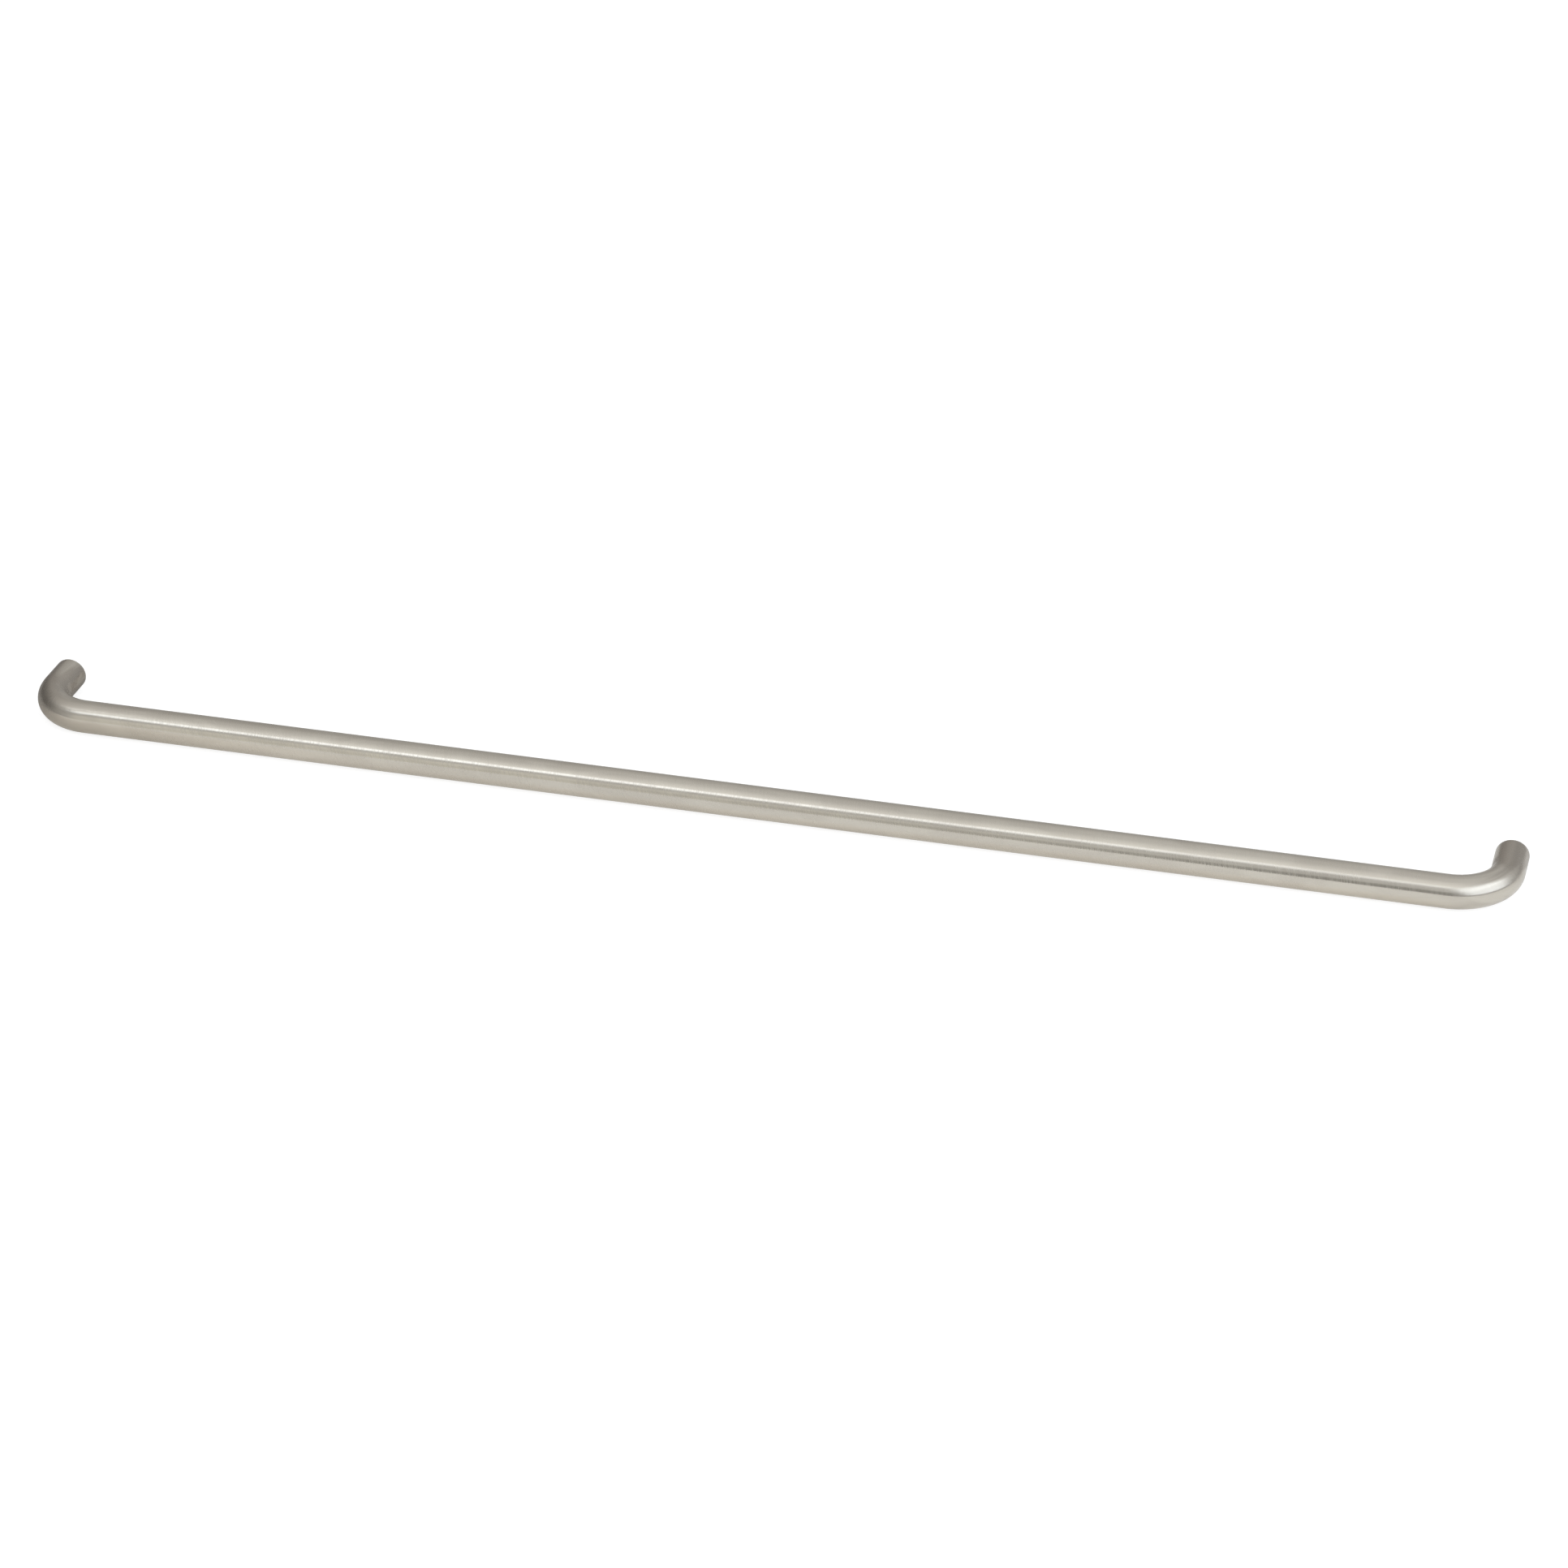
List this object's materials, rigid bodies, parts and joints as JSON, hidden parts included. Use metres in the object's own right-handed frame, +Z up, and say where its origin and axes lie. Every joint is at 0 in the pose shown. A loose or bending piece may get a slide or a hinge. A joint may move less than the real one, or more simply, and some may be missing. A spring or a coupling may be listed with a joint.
{
  "type": "d-bar cabinet pull",
  "caption": "D-shaped pull of solid round bar: a long straight grip, bent square at both ends into short legs with flat feet, each foot with a blind tapped screw hole.",
  "frame": {"origin": "centre of the line between the two screw holes, on the mounting face", "axes": "+X along the grip, +Y out of the feet into the door or drawer front, +Z up, square to the plane of the D"},
  "size_m": [0.458, 0.031, 0.01],
  "materials": {
    "satin_steel": "satin, brushed round the bar, with the grain across the grip and legs"
  },
  "bodies": {
    "root": {"pull": "satin_steel"}
  },
  "joints": []
}
